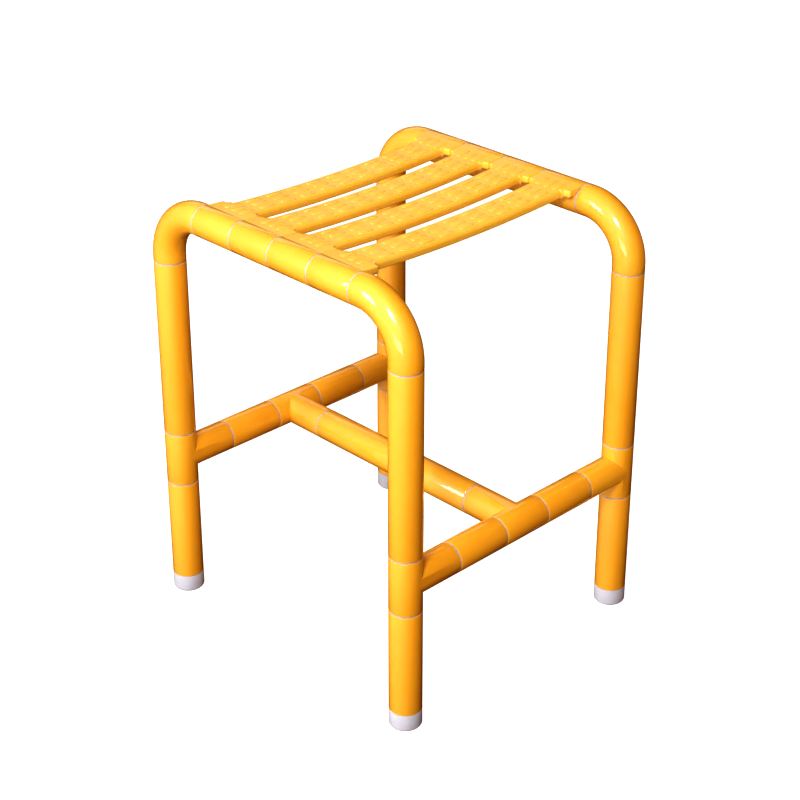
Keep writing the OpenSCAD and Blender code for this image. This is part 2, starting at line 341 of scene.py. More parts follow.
class Value:
    """A shader socket that can be added to, scaled and combined like a number."""

    def __init__(self, board: "Board", socket: bpy.types.NodeSocket) -> None:
        """Keep the socket and the board that it belongs to."""
        self.board = board
        self.socket = socket

    def _math(self, operation: str, first: "Number", second: "Number") -> "Value":
        """Add a Math node for two numbers or sockets and return its output."""
        made = self.board.node("ShaderNodeMath", {"operation": operation}, {0: first, 1: second})
        return Value(self.board, made.outputs[0])

    def __add__(self, other: "Number") -> "Value":
        """Return this plus another."""
        return self._math("ADD", self, other)

    def __radd__(self, other: "Number") -> "Value":
        """Return another plus this."""
        return self._math("ADD", other, self)

    def __sub__(self, other: "Number") -> "Value":
        """Return this less another."""
        return self._math("SUBTRACT", self, other)

    def __rsub__(self, other: "Number") -> "Value":
        """Return another less this."""
        return self._math("SUBTRACT", other, self)

    def __mul__(self, other: "Number") -> "Value":
        """Return this times another."""
        return self._math("MULTIPLY", self, other)

    def __rmul__(self, other: "Number") -> "Value":
        """Return another times this."""
        return self._math("MULTIPLY", other, self)

    def ramp(self, low: float, high: float) -> "Value":
        """Spread a range of values over 0 to 1, smoothly.

        Args:
            low: the value that becomes 0, with all below it.
            high: the value that becomes 1, with all above it.

        Returns:
            The new value.
        """
        made = self.board.node(
            "ShaderNodeMapRange",
            {"interpolation_type": "SMOOTHSTEP"},
            {"Value": self, "From Min": low, "From Max": high},
        )
        return Value(self.board, made.outputs["Result"])


Number = Value | float


class Board:
    """One material's node tree, with its shader and the patterns that feed it."""

    def __init__(self, name: str) -> None:
        """Start a material with a Principled shader and object coordinates.

        Args:
            name: the material's name.
        """
        self.material = bpy.data.materials.new(name)
        self.material.use_nodes = True
        self.tree = self.material.node_tree
        self.shader = self.tree.nodes["Principled BSDF"]
        self.place = self.tree.nodes.new("ShaderNodeTexCoord").outputs["Object"]

    def node(self, kind: str, settings: dict, sockets: dict) -> bpy.types.Node:
        """Add a node, set it up and feed its sockets.

        Args:
            kind: the node's type.
            settings: its own settings, such as an operation, by name.
            sockets: values or links for its inputs, by name or index.

        Returns:
            The new node.
        """
        made = self.tree.nodes.new(kind)
        for name, value in settings.items():
            setattr(made, name, value)
        for key, value in sockets.items():
            self.feed(made.inputs[key], value)
        return made

    def feed(self, socket: bpy.types.NodeSocket, value: object) -> None:
        """Link an output to a socket, or set the socket to a plain value.

        Args:
            socket: the input.
            value: a shader value, an output socket, a colour or a number.
        """
        if isinstance(value, Value):
            value = value.socket
        if isinstance(value, bpy.types.NodeSocket):
            self.tree.links.new(value, socket)
        elif isinstance(value, tuple) and socket.type == "RGBA":
            socket.default_value = (*value, 1.0)
        else:
            socket.default_value = value

    def set(self, **inputs: object) -> None:
        """Feed the shader's own inputs; an underscore stands for a space."""
        for name, value in inputs.items():
            self.feed(self.shader.inputs[name.replace("_", " ")], value)

    def stretched(self, scale: Sequence[float]) -> bpy.types.NodeSocket:
        """Return the object coordinates scaled along each axis."""
        made = self.node("ShaderNodeMapping", {}, {"Vector": self.place, "Scale": tuple(scale)})
        return made.outputs[0]

    def noise(self, scale: float, detail: float = 2.0, at: object = None) -> Value:
        """Add a noise pattern.

        Args:
            scale: how many blotches fit in a metre.
            detail: how many finer layers it has.
            at: the coordinates it reads, or the object's own.

        Returns:
            The pattern, from 0 to 1.
        """
        made = self.node(
            "ShaderNodeTexNoise",
            {},
            {"Vector": at or self.place, "Scale": scale, "Detail": detail},
        )
        return Value(self, made.outputs[0])

    def cells(self, scale: float) -> Value:
        """Add a pattern of cells and return the distance from each cell's middle."""
        made = self.node("ShaderNodeTexVoronoi", {}, {"Vector": self.place, "Scale": scale})
        return Value(self, made.outputs["Distance"])

    def axis(self, which: Axis) -> Value:
        """Return one object coordinate, in metres."""
        made = self.node("ShaderNodeSeparateXYZ", {}, {"Vector": self.place})
        return Value(self, made.outputs[which.value])

    def mix(self, share: Number, first: object, second: object) -> bpy.types.NodeSocket:
        """Blend two colours.

        Args:
            share: how much of the second colour is in the blend.
            first: the colour where the share is 0.
            second: the colour where the share is 1.

        Returns:
            The blend's socket.
        """
        made = self.node("ShaderNodeMix", {"data_type": "RGBA"}, {"Factor": share})
        colours = [socket for socket in made.inputs if socket.type == "RGBA"]
        self.feed(colours[0], first)
        self.feed(colours[1], second)
        return next(socket for socket in made.outputs if socket.type == "RGBA")

    def bump(self, height: Number, depth: float, strength: float = 1.0) -> None:
        """Raise the surface by a pattern.

        Args:
            height: the pattern.
            depth: how deep it is, in metres.
            strength: how strongly it shows.
        """
        made = self.node(
            "ShaderNodeBump", {}, {"Height": height, "Distance": depth, "Strength": strength}
        )
        self.set(Normal=made.outputs["Normal"])


# ---------- finishes ----------


# how light spreads inside the yellow nylon
NYLON = {
    "IOR": 1.5,
    "Subsurface_Weight": 0.18,
    "Subsurface_Radius": (1.0, 0.32, 0.06),
    "Subsurface_Scale": 0.004,
}


@dataclass(frozen=True)
class GlossNylon:
    """Smooth moulded nylon on the frame: crisp gloss over a soft sheen, with faint flow marks."""

    name: str = "gloss_nylon"
    body: Colour = (0.94, 0.455, 0.030)
    deep: Colour = (0.91, 0.405, 0.018)
    roughness: float = 0.42

    def make(self) -> bpy.types.Material:
        """Build the material.

        Returns:
            The new material.
        """
        board = Board(self.name)
        flow = board.noise(9.0, 3.0)
        streaks = board.noise(60.0, 2.0, board.stretched((1.0, 1.0, 0.12)))
        peel = board.noise(420.0, 1.0)
        wear = board.noise(140.0, 5.0).ramp(0.58, 0.74)
        shade = (flow * 0.7 + streaks * 0.3).ramp(0.3, 0.75)
        board.set(
            Base_Color=board.mix(shade, self.body, self.deep),
            Roughness=self.roughness + 0.08 * flow + 0.10 * wear,
            Coat_Weight=1.0,
            Coat_Roughness=0.05,
            **NYLON,
        )
        board.bump(peel + 0.6 * wear, 0.00002, 0.5)
        return board.material


@dataclass(frozen=True)
class SatinNylon:
    """Fine-grained nylon on the seat's upper side, with a soft sheen; its lighter colour is partly
    painted sheen and top light.
    """

    name: str = "satin_nylon"
    # lighter and paler than the frame's nylon: partly the satin moulding's own tone, partly painted
    # sheen and top light
    body: Colour = (0.99, 0.590, 0.085)
    deep: Colour = (0.97, 0.530, 0.055)
    roughness: float = 0.40

    def make(self) -> bpy.types.Material:
        """Build the material.

        Returns:
            The new material.
        """
        board = Board(self.name)
        cloud = board.noise(22.0, 4.0)
        grain = board.noise(1500.0, 3.0)
        pits = board.cells(900.0)
        shade = (cloud * 0.6 + grain * 0.4).ramp(0.3, 0.7)
        board.set(
            Base_Color=board.mix(shade, self.body, self.deep),
            Roughness=self.roughness + 0.08 * cloud + 0.10 * grain,
            Coat_Weight=0.5,
            Coat_Roughness=0.30,
            **NYLON,
        )
        board.bump(grain + 0.5 * pits, 0.00005, 0.45)
        return board.material


@dataclass(frozen=True)
class RingPlastic:
    """Soft pale plastic of the joint rings, a little duller in places, its colour darkened as
    painted shade of the recessed joints.
    """

    name: str = "ring_plastic"
    # lavender plastic, partly its own colour and partly darkened as painted shade of the recessed
    # joints
    body: Colour = (0.54, 0.46, 0.48)
    dull: Colour = (0.38, 0.30, 0.30)

    def make(self) -> bpy.types.Material:
        """Build the material.

        Returns:
            The new material.
        """
        board = Board(self.name)
        grime = board.noise(180.0, 4.0).ramp(0.42, 0.78)
        board.set(
            Base_Color=board.mix(grime, self.body, self.dull),
            Roughness=0.42 + 0.2 * grime,
            Subsurface_Weight=0.1,
            Subsurface_Scale=0.002,
        )
        board.bump(board.noise(900.0), 0.00004, 0.4)
        return board.material


@dataclass(frozen=True)
class FootPlastic:
    """Pale, slightly see-through plastic of the feet, scuffed near the floor."""

    name: str = "foot_plastic"
    body: Colour = (0.57, 0.56, 0.61)
    scuffed: Colour = (0.43, 0.40, 0.44)
    scuff_top: float = 4 * MM

    def make(self) -> bpy.types.Material:
        """Build the material.

        Returns:
            The new material.
        """
        board = Board(self.name)
        cloud = board.noise(60.0, 3.0)
        low = 1.0 - board.axis(Axis.Z).ramp(0.0, self.scuff_top)
        scuff = low * board.noise(500.0, 4.0).ramp(0.4, 0.65)
        board.set(
            Base_Color=board.mix(scuff * 0.7 + cloud * 0.15, self.body, self.scuffed),
            Roughness=0.26 + 0.3 * scuff + 0.06 * cloud,
            Subsurface_Weight=0.5,
            Subsurface_Radius=(1.0, 0.9, 1.0),
            Subsurface_Scale=0.005,
        )
        board.bump(board.noise(700.0) + scuff, 0.00005, 0.5)
        return board.material


@dataclass(frozen=True)
class BareMetal:
    """Drawn, cast or machined metal inside the mouldings.

    Attributes:
        name: the material's name.
        body: its colour.
        dark: the colour of its marks.
        roughness: how dull it is.
        stretch: how the marks are drawn out along each axis.
        marks: how many marks fit in a metre.
        depth: how deep they are, in metres.
    """

    name: str
    body: Colour
    dark: Colour
    roughness: float
    stretch: tuple[float, float, float]
    marks: float
    depth: float

    def make(self) -> bpy.types.Material:
        """Build the material.

        Returns:
            The new material.
        """
        board = Board(self.name)
        lines = board.noise(self.marks, 5.0, board.stretched(self.stretch))
        stain = board.noise(25.0, 4.0).ramp(0.45, 0.8)
        board.set(
            Base_Color=board.mix(lines * 0.6 + stain * 0.4, self.body, self.dark),
            Metallic=1.0,
            Roughness=self.roughness + 0.15 * lines + 0.1 * stain,
        )
        board.bump(lines, self.depth, 0.6)
        return board.material


@dataclass(frozen=True)
class StudioFloor:
    """Pale matt paper under the stool, lit from behind so that its shadows stay faint."""

    name: str = "studio_floor"
    body: Colour = (0.30, 0.30, 0.30)
    tint: Colour = (0.28, 0.28, 0.282)
    glow: float = 0.76

    def make(self) -> bpy.types.Material:
        """Build the material.

        Returns:
            The new material.
        """
        board = Board(self.name)
        board.set(
            Base_Color=board.mix(board.noise(3.0), self.body, self.tint),
            Roughness=0.9,
            Specular_IOR_Level=0.1,
            Emission_Color=(1.0, 1.0, 1.0),
            Emission_Strength=self.glow,
        )
        return board.material


@dataclass
class Finishes:
    """Every finish on the stool, made once and shared."""

    gloss: bpy.types.Material = field(default_factory=lambda: GlossNylon().make())
    satin: bpy.types.Material = field(default_factory=lambda: SatinNylon().make())
    ring: bpy.types.Material = field(default_factory=lambda: RingPlastic().make())
    foot: bpy.types.Material = field(default_factory=lambda: FootPlastic().make())

    def __post_init__(self) -> None:
        """Make the finishes of the CAD pieces that stay, by material slot."""
        iron = (0.36, 0.36, 0.37)
        even, turned = (1.0, 1.0, 1.0), (1.0, 1.0, 6.0)
        drawn = BareMetal("drawn_steel", (0.60, 0.61, 0.63), iron, 0.28, even, 300.0, 0.03 * MM)
        cast = BareMetal("cast_metal", (0.52, 0.53, 0.55), iron, 0.45, even, 650.0, 0.15 * MM)
        screw = BareMetal("screw_steel", (0.40, 0.41, 0.43), iron, 0.32, turned, 900.0, 0.02 * MM)
        self.by_slot = {
            "steel_tube": drawn.make(),
            "cast_core": cast.make(),
            "screw_steel": screw.make(),
        }


# ---------- sizes read from the frame ----------


@dataclass(frozen=True)
class Corner:
    """One corner of the stool: its name and which way it lies from the middle."""

    name: str
    x: int
    y: int


CORNERS = (
    Corner("rear_left", -1, 1),
    Corner("front_left", -1, -1),
    Corner("front_right", 1, -1),
    Corner("rear_right", 1, 1),
)


@dataclass(frozen=True)
class Layout:
    """The stool's main measures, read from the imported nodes.

    Attributes:
        leg_x: distance of a leg's axis from the middle, along the slats.
        leg_y: the same from front to back.
        bar_z: height of the top bars' axis.
        rail_z: height of the rails' axis.
        radius: outside radius of the mouldings.
        core: outside radius of the steel tube.
    """

    leg_x: float
    leg_y: float
    bar_z: float
    rail_z: float
    radius: float
    core: float

    @classmethod
    def read(cls) -> "Layout":
        """Measure the nodes at rest.

        Returns:
            The layout.
        """
        leg_low, leg_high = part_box("upper_sleeve_rear_right")
        bar_low, bar_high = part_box("top_tube_right")
        rail_low, rail_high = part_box("rail_sleeve_rear_right")
        leg = (leg_low + leg_high) / 2
        return cls(
            leg_x=leg.x,
            leg_y=leg.y,
            bar_z=(bar_low.z + bar_high.z) / 2,
            rail_z=(rail_low.z + rail_high.z) / 2,
            radius=(leg_high.x - leg_low.x) / 2,
            core=(bar_high.z - bar_low.z) / 2,
        )

    @property
    def bore(self) -> float:
        """Return the radius of a moulding's bore."""
        return self.core + PLAY

    def leg(self, corner: Corner, height: float = 0.0) -> Matrix:
        """Return the move from the origin to a place on a leg's axis."""
        return spot(corner.x * self.leg_x, corner.y * self.leg_y, height)


def ends(node: str, axis: Axis) -> tuple[float, float]:
    """Return a CAD node's lowest and highest place along an axis."""
    low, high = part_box(node)
    return low[axis.value], high[axis.value]


def middle(node: str) -> Vector:
    """Return the middle of a CAD node's box."""
    low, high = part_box(node)
    return (low + high) / 2


# ---------- sub-assemblies ----------


@dataclass
class SubAssembly:
    """A group of the stool's pieces, with what they all need.

    Attributes:
        layout: the stool's main measures.
        finishes: the finishes it is dressed in.
        made: the pieces made so far.
        rim: how far the ends of the mouldings are rounded.
    """

    layout: Layout
    finishes: Finishes
    made: list[bpy.types.Object] = field(default_factory=list)
    rim: float = 0.6 * MM

    def keep(
        self, piece: bpy.types.Object, node: str, slot: str, material: bpy.types.Material
    ) -> None:
        """Dress a finished piece, hang it on the stool's body and hide the CAD node that it stands
        for.

        Args:
            piece: the finished mesh object.
            node: the CAD node that it replaces.
            slot: the record's material slot; not used.
            material: the finish of every face that has none yet.
        """
        if not piece.data.materials:
            piece.data.materials.append(material)
        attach(piece, BODY)
        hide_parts(node)
        self.made.append(piece)

    def spread(self, first: bpy.types.Object, kind: str, moves: dict[str, Matrix]) -> None:
        """Copy a moulding made at the rear right corner to the others, and keep all four.

        Args:
            first: the moulding at the rear right corner.
            kind: how the names of its CAD nodes start.
            moves: the move from the first one to each other corner, by the corner's name.
        """
        for corner in CORNERS:
            node = f"{kind}_{corner.name}"
            move = moves.get(corner.name)
            piece = first if move is None else Bench.copy(first, node + "_moulding", move)
            self.keep(piece, node, "frame_nylon", self.finishes.gloss)


@dataclass
class StraightMouldings(SubAssembly):
    """The straight nylon tubes: two on each leg, four on the rails, one stretcher."""

    def build(self) -> None:
        """Model one of each kind and copy it to its other places."""
        self._row([f"upper_sleeve_{corner.name}" for corner in CORNERS], Axis.Z)
        self._row([f"lower_sleeve_{corner.name}" for corner in CORNERS], Axis.Z)
        quarters = ("front_left", "front_right", "rear_left", "rear_right")
        self._row([f"rail_sleeve_{quarter}" for quarter in quarters], Axis.X)
        self._row(["stretcher_sleeve"], Axis.Y)

    def _row(self, nodes: Sequence[str], axis: Axis) -> None:
        """Model the first moulding of a kind and copy it.

        Args:
            nodes: the CAD nodes of that kind, all of one length.
            axis: the axis they lie along.
        """
        low, high = ends(nodes[0], axis)
        half = (high - low) / 2
        shape = RoundPiece(
            nodes[0] + "_moulding", self.layout.radius, -half, half, self.layout.bore, self.rim
        )
        first = shape.build(Matrix.Translation(middle(nodes[0])) @ axis.turn())
        Bench.smooth(first)
        for node in nodes:
            shift = Matrix.Translation(middle(node) - middle(nodes[0]))
            piece = first if node == nodes[0] else Bench.copy(first, node + "_moulding", shift)
            self.keep(piece, node, "frame_nylon", self.finishes.gloss)


@dataclass
class Elbows(SubAssembly):
    """The four bends where the top bars turn down into the legs."""

    bend: float = 56 * MM
    bend_steps: int = 48
    sides: int = 96

    def build(self) -> None:
        """Sweep the rear right bend and copy it to the other corners."""
        first = self._sweep("elbow_rear_right_moulding")
        across = spot(-2 * self.layout.leg_x, 0, 0)
        moves = {
            "rear_left": across,
            "front_left": HALF_TURN,
            "front_right": HALF_TURN @ across,
        }
        self.spread(first, "elbow", moves)

    def _sweep(self, name: str) -> bpy.types.Object:
        """Model the rear right bend from a circle at the top of the leg.

        Args:
            name: the piece's name.

        Returns:
            The finished bend.
        """
        size = self.layout
        foot_z, _ = ends("elbow_rear_right", Axis.Z)
        tip_y, _ = ends("elbow_rear_right", Axis.Y)
        straight = size.bar_z - self.bend - foot_z
        bpy.ops.mesh.primitive_circle_add(
            vertices=self.sides, radius=size.radius, location=(size.leg_x, size.leg_y, foot_z)
        )
        piece = Bench.settle(name, HERE)
        Bench.mark(piece, Pick.EDGES, lambda point: True)
        bpy.ops.mesh.extrude_region_move(TRANSFORM_OT_translate={"value": (0, 0, straight)})
        bpy.ops.mesh.spin(
            steps=self.bend_steps,
            angle=math.radians(90),
            center=(size.leg_x, size.leg_y - self.bend, size.bar_z - self.bend),
            axis=(-1, 0, 0),
        )
        bpy.ops.mesh.extrude_region_move(TRANSFORM_OT_translate={"value": (0, -straight, 0)})
        bpy.ops.mesh.select_all(action="SELECT")
        bpy.ops.mesh.remove_doubles(threshold=CLOSE)
        bpy.ops.mesh.normals_make_consistent(inside=False)
        Bench.done()
        Bench.wall(piece, size.radius - size.bore)
        steps = RoundPiece.rim_steps
        Bench.bevel(piece, lambda point: self._at_rim(point, foot_z, tip_y), self.rim, steps)
        Bench.smooth(piece)
        return piece

    def _at_rim(self, point: Vector, foot_z: float, tip_y: float) -> bool:
        """Test whether a point is on the outer edge of either end.

        Args:
            point: the point.
            foot_z: the height of the lower end.
            tip_y: the place of the other end, from front to back.

        Returns:
            Whether it is.
        """
        size = self.layout
        off_leg = math.hypot(point.x - size.leg_x, point.y - size.leg_y)
        off_bar = math.hypot(point.x - size.leg_x, point.z - size.bar_z)
        low_end = abs(point.z - foot_z) < CLOSE and off_leg > size.radius - CLOSE
        bar_end = abs(point.y - tip_y) < CLOSE and off_bar > size.radius - CLOSE
        return low_end or bar_end


@dataclass
class Tees(SubAssembly):
    """The six tee mouldings: one on each leg, and one in the middle of each rail."""

    step: float = 0.1 * MM
    screw_reach: float = 46 * MM
    screw_hole: float = 2.6 * MM
    hole_sides: int = 32

    def build(self) -> None:
        """Model one leg tee and one centre tee, and copy both."""
        size = self.layout
        leg_tee = self._tee("leg_tee_rear_right_moulding", size.leg(CORNERS[3], size.rail_z), 0.0)
        forward = spot(0, -2 * size.leg_y, 0)
        moves = {
            "rear_left": HALF_TURN @ forward,
            "front_left": HALF_TURN,
            "front_right": forward,
        }
        self.spread(leg_tee, "leg_tee", moves)
        flat = Axis.X.turn() @ Matrix.Rotation(math.radians(90), 4, "Z")
        on_rail = spot(0, size.leg_y, size.rail_z) @ flat
        rear = self._tee("centre_tee_rear_moulding", on_rail, -90.0)
        front = Bench.copy(rear, "centre_tee_front_moulding", HALF_TURN)
        self.keep(rear, "centre_tee_rear", "frame_nylon", self.finishes.gloss)
        self.keep(front, "centre_tee_front", "frame_nylon", self.finishes.gloss)

    def _tee(self, name: str, place: Matrix, screw_turn: float) -> bpy.types.Object:
        """Model a tee with its run along Z and its branch along -X.

        Args:
            name: the piece's name.
            place: where the tee goes, from the origin.
            screw_turn: how far the screw hole is turned round the branch, in degrees.

        Returns:
            The finished tee.
        """
        size = self.layout
        low, high = ends("leg_tee_rear_right", Axis.Z)
        half = (high - low) / 2
        reach = size.leg_x - ends("leg_tee_rear_right", Axis.X)[0]
        side = Matrix.Rotation(math.radians(-90), 4, "Y")
        tee = RoundPiece(name, size.radius, -half, half, rim=self.rim).build(HERE)
        branch = RoundPiece("branch", size.radius - self.step, 0.0, reach, rim=self.rim)
        Bench.carve(tee, branch.build(side), "UNION")
        run_bore = RoundPiece("run_bore", size.bore, -half - MM, half + MM)
        Bench.carve(tee, run_bore.build(HERE), "DIFFERENCE")
        branch_bore = RoundPiece("branch_bore", size.bore - self.step / 2, 0.0, reach + MM)
        Bench.carve(tee, branch_bore.build(side), "DIFFERENCE")
        low_end, high_end = -size.radius - MM, -size.core + MM
        hole = RoundPiece("hole", self.screw_hole, low_end, high_end, sides=self.hole_sides)
        turned = Matrix.Rotation(math.radians(screw_turn), 4, "X") @ spot(-self.screw_reach, 0, 0)
        Bench.carve(tee, hole.build(turned), "DIFFERENCE")
        tee.data.transform(place)
        Bench.smooth(tee)
        return tee


@dataclass
class Slats(SubAssembly):
    """The four slats, each with a sleeve on both top bars and pill-shaped pads."""

    blade: float = 40.5 * MM
    thickness: float = 9 * MM
    edge: float = 3.9 * MM
    low_edge: float = 1.6 * MM
    edge_steps: int = 6
    ear_edge: float = 1.1 * MM
    ear_low_edge: float = 3.6 * MM
    ear_steps: int = 4
    plate_crease: float = 40.0
    dish: float = 6.6 * MM
    crease: float = 0.2 * MM
    ear: float = 26 * MM
    ear_gap: float = 0.5 * MM
    fillet: float = 5.5 * MM
    ear_round: float = 2.5 * MM
    ring_room: float = 0.8 * MM
    strips: int = 44
    arc_steps: int = 8
    wall: float = 3 * MM
    rib: float = 2 * MM
    ribs: int = 4
    hollow_edge: float = 0.5 * MM
    hollow_end: float = 6 * MM
    hollow_round: float = 1 * MM
    hollow_steps: int = 3
    pad_columns: int = 11
    pad_rows: int = 3
    pad_length: float = 19.4 * MM
    pad_width: float = 6 * MM
    pad_row_pitch: float = 11.4 * MM
    pad_height: float = 0.5 * MM
    pad_sink: float = 0.4 * MM
    pad_edge: float = 0.35 * MM
    pad_steps: int = 3
    pad_sides: int = 28
    pad_crease: float = 60.0
    pad_end: float = 13.6 * MM

    NODES = ("slat_front", "slat_front_middle", "slat_rear_middle", "slat_rear")

    def build(self) -> None:
        """Model one slat about the middle of the seat and copy it four times."""
        plate = self._plate()
        sleeves = [self._sleeve(side) for side in (-1, 1)]
        pads = self._pads()
        for part in (plate, pads):
            part.data.materials.append(self.finishes.satin)
        for part in sleeves:
            part.data.materials.append(self.finishes.gloss)
        first = Bench.join("slat_pattern", [plate, *sleeves, pads])
        for node in self.NODES:
            piece = Bench.copy(first, node + "_moulding", spot(0, middle(node).y, 0))
            self.keep(piece, node, "slat_nylon", self.finishes.satin)
        bpy.data.objects.remove(first)

    @property
    def pitch(self) -> float:
        """Return the distance between the middles of two slats."""
        return middle(self.NODES[1]).y - middle(self.NODES[0]).y

    @property
    def slot_x(self) -> float:
        """Return how far a drain slot reaches from the middle."""
        return self.layout.leg_x - self.ear

    @property
    def top_z(self) -> float:
        """Return the height of the seat's surface over the top bars."""
        return self.layout.bar_z + self.layout.radius - self.crease

    @property
    def arc(self) -> float:
        """Return the radius of the seat's dish."""
        return (self.layout.leg_x**2 + self.dish**2) / (2 * self.dish)

    def surface(self, x: float) -> float:
        """Return the height of the seat's dished surface at a place along the slat."""
        return self.top_z - self.dish + self.arc - math.sqrt(self.arc**2 - x**2)

    def _outline(self) -> Iterator[tuple[float, float]]:
        """Give one quarter of the slat's plan, from the middle of its edge to its end.

        Returns:
            Points (x, y) of the quarter where both are positive.
        """
        half, wide = self.blade / 2, (self.pitch - self.ear_gap) / 2
        start = self.slot_x - self.fillet
        for step in range(self.arc_steps + 1):
            angle = math.radians(90) * step / self.arc_steps
            yield start + self.fillet * math.sin(angle), half + self.fillet * (1 - math.cos(angle))
        corner_y = wide - self.ear_round
        for step in range(self.arc_steps + 1):
            angle = math.radians(90) * step / self.arc_steps
            x = self.slot_x + self.ear_round * (1 - math.cos(angle))
            yield x, corner_y + self.ear_round * math.sin(angle)
        yield self.layout.leg_x, wide

    def _plate(self) -> bpy.types.Object:
        """Model the slat's plate: its plan, cut in strips, bent, thickened and rounded.

        Returns:
            The plate without its sleeves and pads.
        """
        quarter = list(self._outline())
        right = quarter + [(x, -y) for x, y in reversed(quarter)]
        loop = right + [(-x, -y) for x, y in right]
        mesh = bpy.data.meshes.new("plate")
        mesh.from_pydata([(x, y, 0.0) for x, y in loop], [], [tuple(range(len(loop)))])
        plate = bpy.data.objects.new("plate", mesh)
        bpy.context.scene.collection.objects.link(plate)
        Bench.mark(plate, Pick.FACES, lambda point: True)
        bpy.ops.mesh.normals_make_consistent(inside=False)
        reach = self.layout.leg_x
        for strip in range(1, self.strips):
            x = -reach + 2 * reach * strip / self.strips
            bpy.ops.mesh.select_all(action="SELECT")
            bpy.ops.mesh.bisect(plane_co=(x, 0, 0), plane_no=(1, 0, 0))
        bpy.ops.mesh.select_all(action="SELECT")
        bpy.ops.mesh.extrude_region_move(TRANSFORM_OT_translate={"value": (0, 0, -self.thickness)})
        bpy.ops.mesh.select_all(action="SELECT")
        bpy.ops.mesh.normals_make_consistent(inside=False)
        Bench.done()
        for vert in plate.data.vertices:
            vert.co.z += self.surface(vert.co.x)
        top = (0.0, self.edge, self.ear_edge)
        low = (self.thickness, self.low_edge, self.ear_low_edge)
        for drop, long_edge, ear_edge in (top, low):
            Bench.bevel(plate, self._edge_test(drop, ear=False), long_edge, self.edge_steps)
            Bench.bevel(plate, self._edge_test(drop, ear=True), ear_edge, self.ear_steps)
        Bench.carve(plate, self._hollow(), "DIFFERENCE")
        self._fit_to_bars(plate)
        Bench.smooth(plate, self.plate_crease)
        return plate

    def _edge_test(self, drop: float, ear: bool) -> Test:
        """Make the test for a point on the plate's outline, above or below.

        Args:
            drop: the depth below the seat's surface.
            ear: whether the point is on a wide end or on a long edge.

        Returns:
            The test.
        """
        limit = self.slot_x - self.fillet / 2
        beside = self.blade / 2 - CLOSE

        def test(point: Vector) -> bool:
            """Return whether the point is on that stretch of the outline."""
            level = abs(self.surface(point.x) - drop - point.z) < CLOSE
            along = limit < abs(point.x) if ear else abs(point.x) < limit
            return level and along and beside < abs(point.y)

        return test

    def _tilt(self, x: float) -> Matrix:
        """Return the turn that lays something on the dished seat at a place along the slat."""
        return spot(x, 0, self.surface(x)) @ Matrix.Rotation(-math.asin(x / self.arc), 4, "Y")

    def _hollow(self) -> bpy.types.Object:
        """Model what is taken out of the plate's underside, in bays between the ribs.

        Returns:
            All the bays as one closed mesh.
        """
        bay = 2 * (self.slot_x - self.fillet - self.hollow_end) / (self.ribs + 1)
        width = (self.blade - self.rib) / 2 - self.wall - self.hollow_edge
        size = Matrix.Diagonal((bay - self.rib, width, self.thickness, 1.0))
        bays = []
        for column in range(self.ribs + 1):
            tilt = self._tilt((column - self.ribs / 2) * bay)
            for side in (-1, 1):
                lower = spot(0, side * (width + self.rib) / 2, -self.wall - self.thickness / 2)
                bpy.ops.mesh.primitive_cube_add(size=1.0)
                box = Bench.settle(f"bay_{column}_{side}", tilt @ lower @ size)
                Bench.bevel(box, lambda point: True, self.hollow_round, self.hollow_steps)
                bays.append(box)
        return Bench.join("bays", bays)

    def _fit_to_bars(self, plate: bpy.types.Object) -> None:
        """Cut the plate's ends clear of the top bars' bores and of the joint rings.

        Args:
            plate: the plate.
        """
        size = self.layout
        half = self.pitch / 2
        for side in (-1, 1):
            inner = RoundPiece("inner", (size.bore + size.radius) / 2, -self.pitch, self.pitch)
            place = spot(side * size.leg_x, 0, size.bar_z) @ Axis.Y.turn()
            Bench.carve(plate, inner.build(place), "DIFFERENCE")
            for end in (-1, 1):
                first, last = sorted((end * (half - self.ring_room), end * (half + MM)))
                disc = RoundPiece("disc", size.radius, first, last)
                Bench.carve(plate, disc.build(place), "DIFFERENCE")

    def _sleeve(self, side: int) -> bpy.types.Object:
        """Model the sleeve that the slat has round one top bar."""
        half = self.pitch / 2 - self.ring_room
        size = self.layout
        shape = RoundPiece(f"sleeve_{side}", size.radius, -half, half, size.bore, self.rim)
        sleeve = shape.build(spot(side * size.leg_x, 0, size.bar_z) @ Axis.Y.turn())
        Bench.smooth(sleeve)
        return sleeve

    def _pads(self) -> bpy.types.Object:
        """Model one pill-shaped pad, copy it over the slat and join the copies.

        Returns:
            All the pads of one slat as one mesh.
        """
        pad = self._pad()
        reach = self.layout.leg_x - self.pad_end - self.pad_length / 2
        spread = 2 * reach / (self.pad_columns - 1)
        copies = []
        for column in range(self.pad_columns):
            x = (column - (self.pad_columns - 1) / 2) * spread
            tilt = self._tilt(x)
            for row in range(self.pad_rows):
                y = (row - (self.pad_rows - 1) / 2) * self.pad_row_pitch
                place = tilt @ spot(0, y, 0)
                copies.append(Bench.copy(pad, f"pad_{column}_{row}", place))
        bpy.data.objects.remove(pad)
        return Bench.join("pads", copies)

    def _pad(self) -> bpy.types.Object:
        """Model one pad about the origin, its foot sunk below the surface.

        Returns:
            The finished pad.
        """
        radius = self.pad_width / 2
        stretch = self.pad_length / 2 - radius
        shape = RoundPiece("pad", radius, -self.pad_sink, self.pad_height, sides=self.pad_sides)
        pad = shape.build(Matrix.Rotation(math.pi / shape.sides, 4, "Z"))
        for side in (-1, 1):
            Bench.mark(pad, Pick.VERTS, lambda point: point.x * side > 0)
            bpy.ops.transform.translate(value=(side * stretch, 0, 0))
            Bench.done()
        top = self.pad_height - CLOSE
        Bench.bevel(pad, lambda point: point.z > top, self.pad_edge, self.pad_steps)
        Bench.smooth(pad, self.pad_crease)
        return pad


